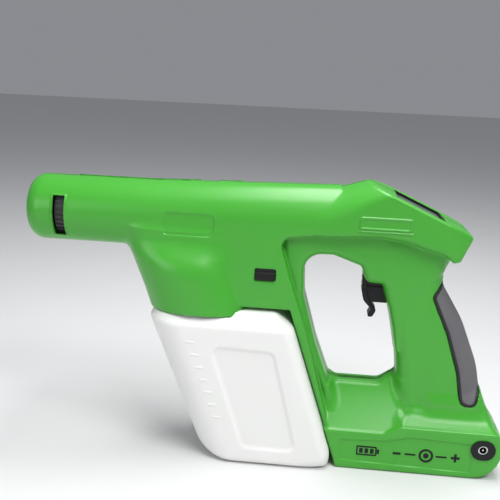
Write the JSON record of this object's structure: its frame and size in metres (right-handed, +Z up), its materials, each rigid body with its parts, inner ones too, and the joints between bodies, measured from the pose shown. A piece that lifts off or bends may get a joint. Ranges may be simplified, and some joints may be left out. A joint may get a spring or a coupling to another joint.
{
  "type": "electrostatic disinfectant sprayer",
  "caption": "Hand-held cordless electrostatic sprayer: a round spray barrel with a rotary nozzle selector, a lift-off tank, a trigger grip and a battery base.",
  "frame": {"origin": "a point of the tank's flat underside, close to the middle of the length: base and tank stand on z = 0, and y = 0 is the plane on which the two shells meet", "axes": "+X along the barrel from nozzle to heel, +Z up, the tank-release button on the -Y side"},
  "size_m": [0.404, 0.0863, 0.2396],
  "materials": {
    "body_green": "moulded gloss with a fine texture",
    "tank_white": "blown translucent polyethylene",
    "black_plastic": "fine satin",
    "dark_plastic": "satin, knurled where gripped",
    "grey_rubber": "soft matt",
    "black_rubber": "matt",
    "white_plastic": "satin",
    "lens_grey": "polished, smoke tinted",
    "steel": "bright",
    "chrome": "plated",
    "brass": "turned",
    "hose_clear": "milky silicone",
    "board_green": "solder mask",
    "cell_wrap": "shrink film",
    "wire_red": "wire insulation"
  },
  "bodies": {
    "body": {"housing_left": "body_green", "housing_right": "body_green", "housing_screws": "steel", "grip_pad": "grey_rubber", "nose_insert": "black_plastic", "electrode_ring": "steel", "spindle_clip": "steel", "selector_seal": "black_rubber", "nozzle_seat": "white_plastic", "hv_module": "dark_plastic", "hv_lead": "wire_red", "pump_head": "dark_plastic", "pump_motor": "steel", "pump_mount": "black_rubber", "outlet_hose": "hose_clear", "inlet_hose": "hose_clear", "tank_socket": "white_plastic", "socket_seal": "black_rubber", "latch_spring": "steel", "trigger_spring": "steel", "trigger_switch": "black_plastic", "display_bezel": "black_plastic", "display_lens": "lens_grey", "display_module": "dark_plastic", "control_board": "board_green", "battery_cell_left": "cell_wrap", "battery_cell_middle": "cell_wrap", "battery_cell_right": "cell_wrap", "battery_tabs": "steel", "battery_board": "board_green", "battery_lead": "wire_red", "jack_bezel": "black_plastic", "jack_sleeve": "steel", "jack_pin": "chrome", "jack_body": "black_plastic"},
    "trigger": {"trigger": "black_plastic"},
    "latch": {"latch_button": "black_plastic", "latch_bar": "dark_plastic"},
    "selector": {"nozzle_selector": "dark_plastic", "nozzle_tips": "brass"},
    "tank": {"tank": "tank_white", "cap_gasket": "black_rubber", "dock_plug": "white_plastic", "cap_valve": "dark_plastic", "pickup_tube": "hose_clear", "pickup_filter": "dark_plastic"},
    "cap": {"tank_cap": "white_plastic"}
  },
  "joints": [
    {"name": "trigger_squeeze", "type": "slide", "parent": "body", "child": "trigger", "axis": [1, 0, 0], "range_m": [0, 0.006], "stiffness_N_per_m": 900, "springref_m": -0.004, "deforming": ["trigger_spring"]},
    {"name": "latch_press", "type": "slide", "parent": "body", "child": "latch", "axis": [0, 1, 0], "range_m": [0, 0.004], "stiffness_N_per_m": 1200, "springref_m": -0.003, "deforming": ["latch_spring"]},
    {"name": "selector_turn", "type": "hinge", "parent": "body", "child": "selector", "pos_m": [-0.1694, 0, 0.2015], "axis": [1, 0, 0], "range_deg": [-120, 120]},
    {"name": "tank_lift_off", "type": "slide", "parent": "body", "child": "tank", "axis": [0.3256, 0, -0.9455], "range_m": [0, 0.12]},
    {"name": "cap_turn", "type": "hinge", "parent": "tank", "child": "cap", "pos_m": [-0.0505, 0, 0.1265], "axis": [-0.3256, 0, 0.9455], "continuous": true}
  ]
}
